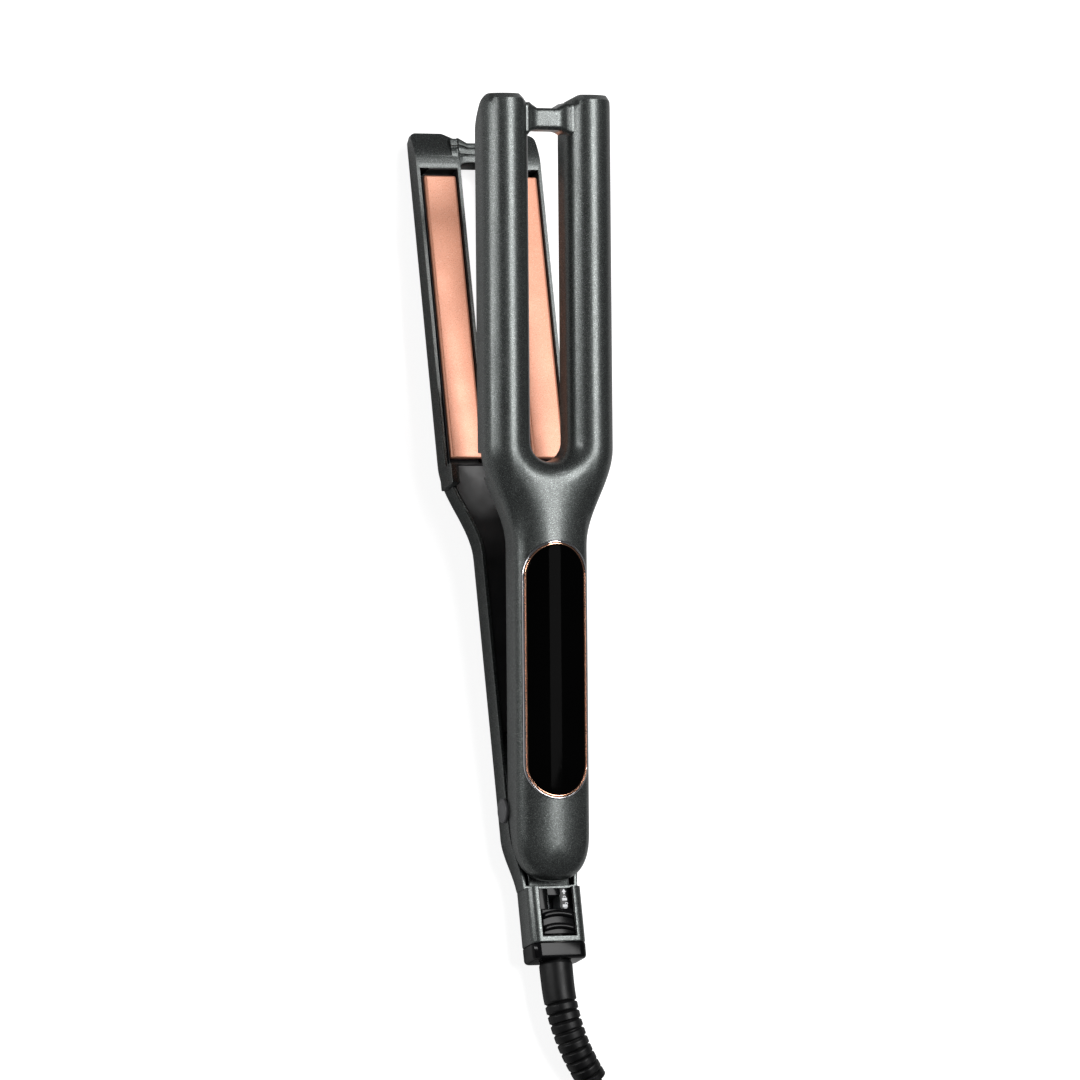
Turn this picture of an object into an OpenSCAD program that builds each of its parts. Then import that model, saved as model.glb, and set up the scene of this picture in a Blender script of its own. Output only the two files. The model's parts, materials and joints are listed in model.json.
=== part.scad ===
// Dual-plate hair straightener: two forked arms on a hinge, a lock slider and a mains cord.
// +Y runs towards the tips, +Z is up, and the lower arm lies on the plane Z = 0.
// Inside an arm, u is across, v runs from the hinge to the tips and w is the height
// from the plane where the two closed arms meet to the arm's outer face.

/* [Arms] */
// Depth of one arm
arm_depth = 15; // [14.5:0.1:15.5]
// Half the width across the two prongs
fork_half_w = 23; // [22.9:0.05:23.2]
// Half the width of the slot between the prongs
slot_half_w = 6.8; // [6.6:0.1:6.9]
// Half the width of the handle
handle_half_w = 13; // [12.9:0.1:13.3]
// Distance from the hinge to the tips
tip_v = 241; // [240.5:0.5:244]
// Distance from the hinge to the centre of the slot's round end
slot_v = 124; // [123.8:0.1:124.2]
// Thickness of the shells' side walls
shell_wall = 1.2; // [1.1:0.05:1.25]

/* [Plates] */
// Width of a heating plate
plate_w = 12; // [11.5:0.1:12.2]
// Length of a heating plate
plate_len = 101; // [98:0.5:102]

/* [Hinge and lock] */
// Angle between the arms at rest
open_angle = 14; // [12:0.5:14]
// Height of the hinge axis above the surface
hinge_z = 12.5; // [12.3:0.1:12.7]
// Radius of the hinge pin
pin_r = 1.5; // [1.3:0.05:1.6]

/* [Display] */
// Half the width of the display window
window_half_w = 11.65; // [11.5:0.05:11.7]
// Where the window starts, from the hinge
window_v0 = 4; // [4:0.5:6]
// Where the window ends, from the hinge
window_v1 = 90.8; // [88:0.4:90.8]

/* [Cord] */
// Diameter of the mains cord
cord_d = 6; // [5.8:0.1:6.2]
// Width of the plug's body
plug_w = 26; // [24:0.5:28]

/* [Hidden] */

hinge_y = -94.5;             // the hinge axis along Y, so that the arms and neck are centred
parting_z = arm_depth;       // the plane where the closed arms meet
hinge_rise = parting_z - hinge_z;
big = 60;                    // longer than any cut needs

// Shell outline
waist_v = 88.5;              // the handle starts to widen here
fork_v = 122;                // and reaches the prongs' full width here
tail_v = -7;                 // the handle starts to narrow here
upper_tail_len = 16.6;
lower_tail_v = -27.4;
lower_tail_half_w = 9.8;
prong_r = (fork_half_w - slot_half_w) / 2;
prong_u = slot_half_w + prong_r;
roof = 1.6;                  // thickness of the shells over the crest
rim_handle_w = 0.4;          // where the handle's rim stops short of the parting plane
rim_fork_w = 1.2;            // and the prongs' rim
bridge_v0 = tip_v - 12.5;    // the bridge joins the prongs from here to just short of the tips
bridge_w = 8;                // height of the bridge's outer face
tip_notch = [[11, 1], [11, 0], [8, -1.8], [5.5, -3.8], [3.5, -4.5]];
tip_r = 12;                  // round of the tip's inner edge

// Plates, in an arm
plate_v0 = 122.6;
plate_face_w = 0.2;
plate_t = 2.8;
plate_bevel = 1.15;
heater_t = 1.6;
holder_half_w = prong_r - shell_wall - 0.3;
holder_v0 = 120.2;
holder_v1 = 226.3;
holder_chamfer = 2.8;        // at the prong's rounded corner
holder_w0 = 0.6;
holder_w1 = 6.4;
cavity_v1 = 226.4;

// Ears on the lower arm that line the arms up as they close
ear_u0 = 20;
ear_v0 = 112.5;
ear_v1 = 119.8;
ear_rise = 4;
ear_foot_w = 7.3;            // how deep an ear is let into the lower shell's wall
ear_gap = 0.3;

// Hinge and lock, as heights z from the hinge axis
yoke_u0 = 9.2;
yoke_u1 = 10.7;
yoke_w = 6;                  // inner face of the yoke's cross plate
bar_z0 = -5.3;
bar_z1 = -3.7;
bar_nose_v = 15;
catch_z0 = -7;
catch_z1 = -5.6;
catch_v0 = 19;
catch_v1 = 25;
spring_v = 31.5;
spring_r = 3.1;
spring_wire = 0.9;
spring_z0 = 4;
spring_z1 = 27.4;
spring_turns = 7;

// Neck, as heights z from the hinge axis
neck_half_w = 9.7;
neck_half_t = 6.7;
neck_r = 3;
neck_v0 = -27.5;
neck_v1 = -46.5;
neck_v2 = -52;
slider_v0 = -35;
slider_v1 = -44;
slider_half_w = 5.9;

// Display: rings that follow the crown of the handle
crown_r = 24;
bezel_t = 0.85;
accent_t = 0.55;

// Cord: the route's own points, first to the hank and then from it to the plug
boot_path = [
    [0, -146.5, 12.5], [0, -152, 12.5], [0.3, -158, 12.3], [1.2, -164, 12],
    [2.7, -170, 11.4], [5, -176, 10.3], [8, -181.5, 8.8], [11, -186, 7.2]
];
lead_path = [
    [11, -186, 7.2], [14.5, -191, 5.4], [18, -197, 4], [21, -204, 3.2], [23.2, -212, 3],
    [24, -221, 3], [24, -230, 3], [24, -240, 3]
];
hank_y = [-230, -290];       // centres of the hank's two folds
hank_r_in = 14.7;
hank_r_out = 27.3;
hank_h = 18.3;
tail_path = [
    [18, -222, 18.3], [20.6, -230, 20.5], [21, -240, 20.6], [21, -255, 20.6], [21, -270, 20.6],
    [21, -285, 20.6], [21, -298, 20.5], [20.6, -309, 19], [19.4, -319, 16], [17.5, -328, 12.4],
    [15.2, -337, 9.6], [13, -346, 8.2], [12, -354, 8], [12, -360, 8]
];
tie_y = -264;
tie_t = 1.1;
boot_r0 = 5.7;
boot_r1 = 5.2;
plug_x = 12;                 // where the cord enters the plug
plug_y = -360;
plug_z = 8;
relief_len = 20;
plug_len = 30;
blade_len = 17;
blade_pitch = 12.7;

charcoal = "#4b4d4c";
black = "#101010";
copper = "#db9a7c";
steel = "#b9bbbd";

// ---- shared functions ----

function ease(t) = t <= 0 ? 0 : t >= 1 ? 1 : (1 - cos(180 * t)) / 2;
function fork_part(v) = ease((v - waist_v) / (fork_v - waist_v));
function half_w(v) = handle_half_w + (fork_half_w - handle_half_w) * fork_part(v);
function mix(a, b, t) = a + (b - a) * t;
function mirrored(side) = [for (i = [len(side) - 1:-1:0]) [-side[i][0], side[i][1]]];
function tail_side(d, necked) = necked
    ? [for (i = [3:-1:1]) [mix(handle_half_w, lower_tail_half_w, ease(i / 3)) * (1 - d / handle_half_w),
        mix(tail_v, lower_tail_v + d, i / 3)]]
    : [for (a = [78:-13:13]) [(handle_half_w - d) * pow(cos(a), 0.8),
        tail_v - (upper_tail_len - d) * pow(sin(a), 0.8)]];

// The levels of the rounded outer edge: how far in, and how high, on a prong and on the handle
prong_in = [0, 1.1, 3.0, 5.2, 7.2];
function prong_h(i) = min(arm_depth, arm_depth - prong_r + 0.1
    + sqrt(prong_r * prong_r - pow(prong_r - prong_in[i], 2)));
handle_in = [0, 0.5, 1.4, 6, 11.6];
handle_h = [arm_depth - 6, arm_depth - 4, arm_depth - 2.9, arm_depth - 0.8, arm_depth];

// One closed ring of the outline at level i, moved in by inset and down by drop
function ring(i, inset, drop, tip, necked) =
    let (side = concat(
            [for (p = tail_side(inset + handle_in[i], necked)) p],
            [for (v = [tail_v, 20, 55, waist_v]) [handle_half_w - inset - handle_in[i], v]],
            [for (k = [1:8]) let (v = mix(waist_v, fork_v, k / 8), f = fork_part(v))
                [half_w(v) - inset - mix(handle_in[i], prong_in[i], f), v]],
            [[fork_half_w - inset - prong_in[i], tip - 2.5 - prong_in[i] * 0.3],
             [fork_half_w - inset - prong_in[i] - 0.75, tip - 0.75 - prong_in[i] * 0.3],
             [fork_half_w - inset - prong_in[i] - 2.5, tip - prong_in[i] * 0.3]]),
         outline = concat(side, mirrored(side)))
    [for (p = outline) [p[0], p[1], mix(handle_h[i], prong_h(i), fork_part(p[1])) - drop]];
function floor_ring(ring, w) = [for (p = ring) [p[0], p[1], w]];
function rim_ring(ring) =
    [for (p = ring) [p[0], p[1], mix(rim_handle_w, rim_fork_w, fork_part(p[1]))]];
function slot_ring(r, v_end, w) = concat(
    [for (a = [180:15:360]) [r * cos(a), slot_v + r * sin(a), w]],
    [[r, v_end, w], [-r, v_end, w]]);

// A solid through a stack of rings that have the same number of points. Its two ends are
// whole faces, or strips from side to side where the ring is a mirrored outline.
module stack(rings, mirrored = false) {
    n = len(rings[0]);
    top = (len(rings) - 1) * n;
    ends = mirrored
        ? [for (i = [0:n / 2 - 2]) [i, i + 1, n - 2 - i, n - 1 - i]]
        : [[for (i = [0:n - 1]) i]];
    polyhedron(
        points = [for (r = rings) each r],
        faces = concat(
            ends,
            [for (k = [0:len(rings) - 2], i = [0:n - 1])
                each [[k * n + i, (k + 1) * n + i, k * n + (i + 1) % n],
                    [k * n + (i + 1) % n, (k + 1) * n + i, (k + 1) * n + (i + 1) % n]]],
            [for (e = ends) [for (i = [len(e) - 1:-1:0]) top + e[i]]]),
        convexity = 10);
}

// A round bar swept along a list of points
module sweep(path, r0, r1, sides) {
    last = len(path) - 1;
    function along(i) =
        let (d = path[min(i + 1, last)] - path[max(i - 1, 0)]) d / norm(d);
    function across(i) = let (c = cross(along(i), [0, 0, 1])) c / norm(c);
    stack([for (i = [0:last]) let (x = across(i), y = cross(along(i), x), r = mix(r0, r1, i / last))
        [for (k = [0:sides - 1]) path[i] + r * (x * cos(360 * k / sides) - y * sin(360 * k / sides))]]);
}

// The lower arm lies on its back, so there u runs towards -X
module lower_arm() { translate([0, hinge_y, parting_z]) rotate([0, 180, 0]) children(); }
module upper_arm() {
    translate([0, hinge_y, hinge_z]) rotate([open_angle, 0, 0])
        translate([0, 0, hinge_rise]) children();
}
module at_hinge() { translate([0, hinge_y, hinge_z]) children(); }
module block(x, y, z) { translate([x[0], y[0], z[0]]) cube([x[1] - x[0], y[1] - y[0], z[1] - z[0]]); }
module both_sides() { for (s = [0, 1]) mirror([s, 0, 0]) children(); }
module across_rod(r, x, v, w) { translate([x[0], v, w]) rotate([0, 90, 0]) cylinder(r = r, h = x[1] - x[0], $fn = 48); }
module along_rod(r, v, u, w) { translate([u, v[0], w]) rotate([-90, 0, 0]) cylinder(r = r, h = v[1] - v[0], $fn = 48); }
module post(r, u, v, w) { translate([u, v, w[0]]) cylinder(r = r, h = w[1] - w[0], $fn = 48); }
module stadium(half, v0, v1) {
    translate([-half, v0 + half]) square([2 * half, v1 - v0 - 2 * half]);
    for (v = [v0 + half, v1 - half]) translate([0, v]) circle(r = half, $fn = 180);
}

// ---- shells ----

module arm_outside(necked) {
    difference() {
        stack(concat([rim_ring(ring(0, 0, 0, tip_v, necked))],
            [for (i = [0:4]) ring(i, 0, 0, tip_v, necked)]), mirrored = true);
        translate([0, 0, -big / 2]) linear_extrude(big) union() {
            translate([-slot_half_w, slot_v]) square([2 * slot_half_w, bridge_v0 - slot_v]);
            translate([0, slot_v]) circle(r = slot_half_w, $fn = 64);
            translate([0, tip_v]) polygon(concat(tip_notch, mirrored(tip_notch)));
        }
        stack(concat([slot_ring(slot_half_w + 0.05, tip_v + 5, bridge_w)],
            [for (i = [1:4]) slot_ring(slot_half_w + prong_in[i], tip_v + 5, prong_h(i))],
            [slot_ring(slot_half_w + prong_in[4], tip_v + 5, arm_depth + 5)]));
        difference() {
            block([-big, big], [tip_v - tip_r, tip_v + 5], [-1, tip_r]);
            across_rod(tip_r, [-big - 1, big + 1], tip_v - tip_r - 0.5, tip_r);
        }
    }
}

module arm_cavity(necked) {
    difference() {
        stack(concat([floor_ring(ring(0, shell_wall, roof, cavity_v1, necked), -1)],
            [for (i = [0:3]) ring(i, shell_wall, roof, cavity_v1, necked)]), mirrored = true);
        stack(concat([slot_ring(slot_half_w + shell_wall, tip_v, -2)],
            [for (i = [0:4]) slot_ring(slot_half_w + shell_wall + prong_in[i], tip_v, prong_h(i) - roof)],
            [slot_ring(slot_half_w + shell_wall + prong_in[4], tip_v, arm_depth + 1)]));
    }
}

// The lower arm's outer face rises to meet the neck
module neck_slope(inset) {
    rise = arm_depth - (hinge_rise + neck_half_t);
    rotate([90, 0, 90]) translate([0, 0, -big]) linear_extrude(2 * big)
        polygon(concat([[tail_v + 4, arm_depth + 5], [tail_v + 4, arm_depth - inset]],
            [for (k = [1:6]) [mix(tail_v, lower_tail_v, k / 6), arm_depth - inset - rise * pow(k / 6, 1.6)]],
            [[lower_tail_v - 5, arm_depth - inset - rise], [lower_tail_v - 5, arm_depth + 5]]));
}

module ear_notch() {
    both_sides()
        block([ear_u0 - ear_gap, big], [ear_v0 - 0.5, ear_v1 + ear_gap], [-1, ear_rise + ear_gap]);
}

module screw_boss(v, w0) {
    difference() {
        post(3, 0, v, [w0, arm_depth - roof + 0.3]);
        post(1.25, 0, v, [w0 - 1, w0 + 8]);
    }
}

module lower_shell() {
    color(charcoal) lower_arm() {
        difference() {
            arm_outside(true);
            difference() { arm_cavity(true); neck_slope(roof); }
            neck_slope(0);
            across_rod(pin_r, [-big, big], 0, hinge_rise);
            block([-7.6, 7.6], [lower_tail_v - 2, -20], [hinge_rise - 1.3, hinge_rise + 6.3]);
            both_sides() block([ear_u0, big], [ear_v0, ear_v1], [-1, ear_foot_w]);
        }
        for (v = [48, 104]) screw_boss(v, 2.5);
        translate([0, spring_v, parting_z - spring_z0]) difference() {
            cylinder(r = 4.6, h = spring_z0 - roof + 0.4, $fn = 48);
            translate([0, 0, -1]) cylinder(r = 1.4, h = 2, $fn = 48);
        }
    }
}

module alignment_ears() {
    color(charcoal) lower_arm() both_sides()
        block([ear_u0, fork_half_w], [ear_v0, ear_v1], [-ear_rise, ear_foot_w]);
}

module upper_shell() {
    color(charcoal) upper_arm() {
        difference() {
            arm_outside(false);
            arm_cavity(false);
            // Room behind the hinge for the tail to dip towards the lower arm
            rotate([90, 0, 90]) translate([0, 0, -big]) linear_extrude(2 * big)
                polygon([[3, -1], [3, rim_handle_w], [-big, rim_handle_w + 0.3 + (big + 3) * tan(open_angle)],
                    [-big, -1]]);
            both_sides() across_rod(5, [handle_half_w - 0.4, big], 0, -hinge_rise);
            ear_notch();
            translate([0, 0, arm_depth - 3.7]) linear_extrude(big) stadium(window_half_w, window_v0, window_v1);
        }
        screw_boss(98, 2.5);
        for (u = [-6, 6]) translate([u, -5, yoke_w + 1.6]) difference() {
            cylinder(r = 2.6, h = arm_depth - roof - yoke_w - 1.4, $fn = 48);
            translate([0, 0, -1]) cylinder(r = 1.05, h = 5, $fn = 48);
        }
    }
}

// ---- handle covers, which close the handles on the inside ----

module handle_cover(v0) {
    inset = shell_wall + 0.1;
    side = concat([[handle_half_w - inset, v0], [handle_half_w - inset, waist_v]],
        [for (k = [1:8]) let (v = mix(waist_v, fork_v, k / 8)) [half_w(min(v, holder_v0 - 0.3)) - inset,
            min(v, holder_v0 - 0.3 + k * 0.01)]]);
    translate([0, 0, 0.9]) linear_extrude(1.5) difference() {
        polygon(concat(side, mirrored(side)));
        translate([0, slot_v]) circle(r = slot_half_w + shell_wall + 0.1, $fn = 64);
        translate([0, spring_v + 1]) hull() {
            translate([0, -2]) circle(r = 4.8, $fn = 32);
            translate([0, 3]) circle(r = 4.8, $fn = 32);
        }
    }
}
module cover_screw(v) {
    post(2.3, 0, v, [1.2, 2.4]);
    post(1.2, 0, v, [2.4, 9]);
}
module screw_seat(v) {
    post(2.4, 0, v, [-1, 2.45]);
}

module lower_handle_cover() {
    color(black) lower_arm() difference() {
        handle_cover(27);
        for (v = [48, 104]) screw_seat(v);
        ear_notch();
    }
}
module lower_cover_screws() { color(steel) lower_arm() for (v = [48, 104]) cover_screw(v); }
module upper_handle_cover() {
    color(black) upper_arm() difference() {
        handle_cover(27);
        screw_seat(98);
        ear_notch();
    }
}
module upper_cover_screws() { color(steel) upper_arm() cover_screw(98); }

// ---- plates, heaters and their holders, on one prong; s is the side it is on, along u ----

module plate_holder(s) {
    h = holder_half_w;
    translate([s * prong_u, 0, 0]) difference() {
        translate([0, 0, holder_w0]) linear_extrude(holder_w1 - holder_w0)
            polygon([[-s * h, holder_v0], [s * h, holder_v0], [s * h, holder_v1 - holder_chamfer],
                [s * (h - holder_chamfer), holder_v1], [-s * h, holder_v1]]);
        block([-plate_w / 2 - 0.3, plate_w / 2 + 0.3], [holder_v0 + 0.5, holder_v1 - 0.5],
            [-1, holder_w1 - 0.6]);
    }
}
module plate(s) {
    t = plate_t;
    b = plate_bevel;
    half = plate_w / 2;
    translate([s * prong_u, plate_v0 + plate_len, plate_face_w]) rotate([90, 0, 0]) linear_extrude(plate_len)
        polygon([[-half, t], [-half, b * 0.6], [-half + b, 0], [half - b, 0], [half, b * 0.6], [half, t]]);
}
module heater(s) {
    w = plate_face_w + plate_t;
    translate([s * prong_u, 0, 0])
        block([-5, 5], [plate_v0 + 6, plate_v0 + plate_len - 6], [w, w + heater_t]);
}
module float_pads() {
    for (s = [-1, 1], v = [132:20:212]) translate([s * prong_u, v, holder_w1 - 0.95])
        cylinder(r = 3.5, h = 0.35, $fn = 32);
}
// Two wires to each prong; start is where the first of them leaves, as [u, v, w]
module wiring(start) {
    for (s = [-1, 1], k = [0, 1]) {
        route = [start, [6, 92, 8.6], [9, 104, 9], [12, 114, 8.2], [13.5, 122, 7.8]];
        sweep([for (p = route) [s * (p[0] + 1.8 * k), p[1], p[2]]], 0.7, 0.7, 6);
    }
}

module lower_plate_holder_left() { color(black) lower_arm() plate_holder(1); }
module lower_plate_holder_right() { color(black) lower_arm() plate_holder(-1); }
module lower_plate_left() { color(copper) lower_arm() plate(1); }
module lower_plate_right() { color(copper) lower_arm() plate(-1); }
module lower_heater_left() { color("ivory") lower_arm() heater(1); }
module lower_heater_right() { color("ivory") lower_arm() heater(-1); }
module lower_float_pads() { color("firebrick") lower_arm() float_pads(); }
module lower_wiring() { color("white") lower_arm() wiring([5, 44, 9]); }
module upper_plate_holder_left() { color(black) upper_arm() plate_holder(-1); }
module upper_plate_holder_right() { color(black) upper_arm() plate_holder(1); }
module upper_plate_left() { color(copper) upper_arm() plate(-1); }
module upper_plate_right() { color(copper) upper_arm() plate(1); }
module upper_heater_left() { color("ivory") upper_arm() heater(-1); }
module upper_heater_right() { color("ivory") upper_arm() heater(1); }
module upper_float_pads() { color("firebrick") upper_arm() float_pads(); }
module upper_wiring() { color("white") upper_arm() wiring([2.2, 83.5, 7.4]); }
module thermal_fuse() {
    color("gainsboro") lower_arm()
        along_rod(0.5, [plate_v0 + 0.5, plate_v0 + 5.6], prong_u, plate_face_w + plate_t + 0.5);
}
module thermistor() {
    color("peru") upper_arm() translate([-prong_u, plate_v0 + 3, plate_face_w + plate_t + 0.7])
        sphere(r = 0.7, $fn = 24);
}

// ---- hinge ----

module hinge_pin() { color(steel) at_hinge() across_rod(pin_r, [-handle_half_w, handle_half_w], 0, 0); }
module hinge_caps() {
    color("dimgray") at_hinge() both_sides() across_rod(4.15, [handle_half_w, handle_half_w + 1.2], 0, 0);
}
module hinge_bushes() {
    color("white") at_hinge() both_sides() difference() {
        across_rod(3, [yoke_u1 + 0.1, handle_half_w - shell_wall], 0, 0);
        across_rod(pin_r, [yoke_u1, handle_half_w], 0, 0);
    }
}
module hinge_yoke() {
    color(steel) upper_arm() difference() {
        union() {
            both_sides() {
                across_rod(4.2, [yoke_u0, yoke_u1], 0, -hinge_rise);
                block([yoke_u0, yoke_u1], [-4.2, 22], [-hinge_rise, yoke_w + 0.5]);
            }
            block([-yoke_u1, yoke_u1], [-9, 38], [yoke_w, yoke_w + 1.5]);
        }
        across_rod(pin_r + 0.05, [-big, big], 0, -hinge_rise);
        // Corner behind the lugs, so that they clear the lower arm
        block([-big, big], [-5, -1], [-hinge_rise - 5, -hinge_rise - 4.2]);
        for (u = [-6, 6]) post(1.3, u, -5, [yoke_w - 1, yoke_w + 3]);
    }
}
module yoke_screws() {
    color("silver") upper_arm() for (u = [-6, 6]) {
        post(2, u, -5, [yoke_w - 1.2, yoke_w]);
        post(1, u, -5, [yoke_w, yoke_w + 5]);
    }
}
module opening_spring() {
    steps = spring_turns * 10;
    rise = spring_z1 - spring_z0;
    helix = [for (i = [0:steps]) let (a = 36 * i)
        [spring_r * cos(a), spring_r * sin(a), spring_wire / 2 + (rise - spring_wire) * i / steps]];
    color("silver") translate([0, hinge_y + spring_v, spring_z0])
        sweep(helix, spring_wire / 2, spring_wire / 2, 6);
}

// ---- neck and lock ----

module neck_section(half_u, half_z, r) {
    polygon([for (q = [0:3], a = [0:15:90]) let (b = q * 90 + a)
        [(q == 0 || q == 3 ? 1 : -1) * (half_u - r) + r * cos(b), (q < 2 ? 1 : -1) * (half_z - r) + r * sin(b)]]);
}
module neck_prism(v0, v1, shrink) {
    translate([0, v0, 0]) rotate([90, 0, 0])
        linear_extrude(v0 - v1) neck_section(neck_half_w - shrink, neck_half_t - shrink, neck_r);
}
module neck_housing() {
    color(charcoal) at_hinge() difference() {
        union() {
            neck_prism(neck_v0, neck_v1, 0);
            block([-7.4, 7.4], [neck_v0 - 1, -15], [-6.2, 1.2]);
        }
        block([-6.25, 6.25], [-44.6, neck_v0 + 1], [4.2, neck_half_t + 1]);
        block([-3.5, 3.5], [neck_v1 - 1, -14], [-5.8, -3.2]);
        block([-2.2, 2.2], [-42, -30], [-4, 5]);
        for (u = [-5.2, 5.2]) along_rod(1.5, [neck_v1 - 1, -14], u, -1);
        along_rod(6, [neck_v1 - 1, neck_v1 + 1.8], 0, 0);
        for (u = [-8, 8]) post(0.9, u, -43, [-neck_half_t - 1, -1]);
    }
}
module neck_end_cap() {
    color(black) at_hinge() difference() {
        neck_prism(neck_v1, neck_v2, 0.1);
        along_rod(4.95, [neck_v2 - 1, neck_v1 + 1], 0, 0);
    }
}
module neck_screws() {
    color("silver") at_hinge() for (u = [-8, 8]) post(0.85, u, -43, [-neck_half_t + 1.6, -1.2]);
}
module swivel_bush() {
    color("white") at_hinge() difference() {
        union() {
            along_rod(5.9, [neck_v1, neck_v1 + 1.7], 0, 0);
            along_rod(4.9, [neck_v2, neck_v1 + 0.1], 0, 0);
        }
        along_rod(cord_d / 2 + 0.1, [neck_v2 - 1, neck_v1 + 3], 0, 0);
    }
}
module lock_detent_spring() {
    color("gold") at_hinge() block([-1.5, 1.5], [-29.8, -22], [bar_z1 + 0.15, bar_z1 + 0.4]);
}
module lock_slider() {
    color(black) at_hinge() {
        block([-slider_half_w, slider_half_w], [slider_v1, slider_v0], [4.5, 6.3]);
        for (v = [slider_v1 + 0.6, slider_v1 + 4.9])
            translate([-slider_half_w, v, 6.2]) rotate([90, 0, 90]) linear_extrude(2 * slider_half_w)
                polygon([[0, 0], [3.4, 0], [2.6, 1.2], [0.6, 1.2]]);
    }
}
module lock_bar() {
    color(steel) at_hinge() {
        block([-3, 3], [-41.5, bar_nose_v], [bar_z0, bar_z1]);
        block([-1.8, 1.8], [-41.5, -37.5], [bar_z1 - 0.2, 4.5]);
    }
}
module lock_catch() {
    color(steel) upper_arm() {
        block([-4, 4], [catch_v0, catch_v1], [catch_z0 - hinge_rise, catch_z1 - hinge_rise]);
        block([-4, 4], [catch_v1 - 1.5, catch_v1], [catch_z0 - hinge_rise, yoke_w]);
    }
}

// ---- display and electronics, in the upper arm ----

module crowned(rise, w0) {
    intersection() {
        translate([0, 0, w0]) linear_extrude(big) children();
        translate([0, 2 * big, arm_depth - crown_r]) rotate([90, 0, 0]) cylinder(r = crown_r + rise, h = 3 * big, $fn = 360);
    }
}
module display_bezel() {
    color("silver") upper_arm() crowned(0.35, arm_depth - 3.6) difference() {
        stadium(window_half_w - 0.1, window_v0 + 0.1, window_v1 - 0.1);
        stadium(window_half_w - bezel_t, window_v0 + bezel_t, window_v1 - bezel_t);
    }
}
module display_accent_ring() {
    t = bezel_t + 0.05;
    color(copper) upper_arm() crowned(0.15, arm_depth - 3.6) difference() {
        stadium(window_half_w - t, window_v0 + t, window_v1 - t);
        stadium(window_half_w - t - accent_t, window_v0 + t + accent_t, window_v1 - t - accent_t);
    }
}
module display_lens() {
    t = bezel_t + accent_t + 0.1;
    color("black") upper_arm() crowned(0.25, arm_depth - 3) stadium(window_half_w - t, window_v0 + t, window_v1 - t);
}
module display_frame() {
    color("darkslategray") upper_arm() translate([0, 0, 8.6]) linear_extrude(1)
        stadium(9.4, 40, 88);
}
module display_module() { color("navy") upper_arm() block([-8, 8], [42, 86], [9.7, 11.6]); }
module control_board() { color("darkgreen") upper_arm() block([-8.6, 8.6], [42, 86], [5, 6.6]); }
module board_components() {
    color("dimgray") upper_arm() {
        for (v = [48, 60, 74]) block([-3, 3], [v, v + 6], [6.6, 7.8]);
        for (u = [-6, 6], v = [46, 66, 82]) post(1.5, u, v, [6.6, 8.2]);
    }
}

// ---- cord, boot and plug ----

module cord_boot() { color("#0b0b0b") sweep(boot_path, boot_r0, boot_r1, 12); }
module cord_lead() { color("#0b0b0b") sweep(lead_path, cord_d / 2, cord_d / 2, 8); }
module around_folds(r) { hull() for (y = hank_y) translate([0, y]) circle(r = r, $fn = 96); }
module cord_hank() {
    color("#0b0b0b") linear_extrude(hank_h) difference() {
        around_folds(hank_r_out);
        around_folds(hank_r_in);
    }
}
module cord_tie() {
    w = hank_r_out + 0.1;
    over = [[-w, -5], [-w, hank_h + 0.1], [14, hank_h + 5.5], [26, hank_h + 5.5], [w, hank_h + 3.5], [w, -5]];
    color("#202020") translate([0, tie_y + 4, 0]) rotate([90, 0, 0]) linear_extrude(8) difference() {
        intersection() {
            offset(r = tie_t, $fn = 32) polygon(over);
            translate([-big, 0]) square(2 * big);
        }
        polygon(over);
    }
}
module cord_tail() { color("#0b0b0b") sweep(tail_path, cord_d / 2, cord_d / 2, 8); }
module at_plug() { translate([plug_x, plug_y, plug_z]) rotate([0, 0, -90]) children(); }
module plug_body() {
    color("#0b0b0b") at_plug() {
        rotate([0, 90, 0]) cylinder(r1 = 4.2, r2 = 6, h = relief_len, $fn = 48);
        block([relief_len, relief_len + plug_len], [-plug_w / 2, plug_w / 2], [-8, 8]);
    }
}
module plug_blades() {
    color("#cfc7a8") at_plug() translate([relief_len + plug_len, 0, 0])
        for (y = [-blade_pitch / 2, blade_pitch / 2]) block([0, blade_len], [y - 0.75, y + 0.75], [-3.2, 3.2]);
}

lower_shell();
alignment_ears();
lower_handle_cover();
lower_cover_screws();
lower_plate_holder_left();
lower_plate_holder_right();
lower_float_pads();
lower_wiring();
lower_plate_left();
lower_plate_right();
lower_heater_left();
lower_heater_right();
thermal_fuse();
hinge_pin();
hinge_caps();
hinge_bushes();
opening_spring();
neck_housing();
neck_end_cap();
neck_screws();
swivel_bush();
lock_detent_spring();
lock_slider();
lock_bar();
upper_shell();
upper_handle_cover();
upper_cover_screws();
upper_plate_holder_left();
upper_plate_holder_right();
upper_float_pads();
upper_wiring();
upper_plate_left();
upper_plate_right();
upper_heater_left();
upper_heater_right();
thermistor();
hinge_yoke();
yoke_screws();
lock_catch();
display_lens();
display_bezel();
display_accent_ring();
display_frame();
display_module();
control_board();
board_components();
cord_boot();
cord_lead();
cord_hank();
cord_tail();
cord_tie();
plug_body();
plug_blades();
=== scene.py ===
"""Looks of a dual-plate hair straightener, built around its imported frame.

Shapes are written in millimetres. Inside an arm, u is across, v runs from the hinge to the
tips and w is the height from the plane where the two closed arms meet to the outer face.
"""
import json
import math

import bmesh
import bpy
import numpy as np
from mathutils import Matrix, Vector


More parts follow.
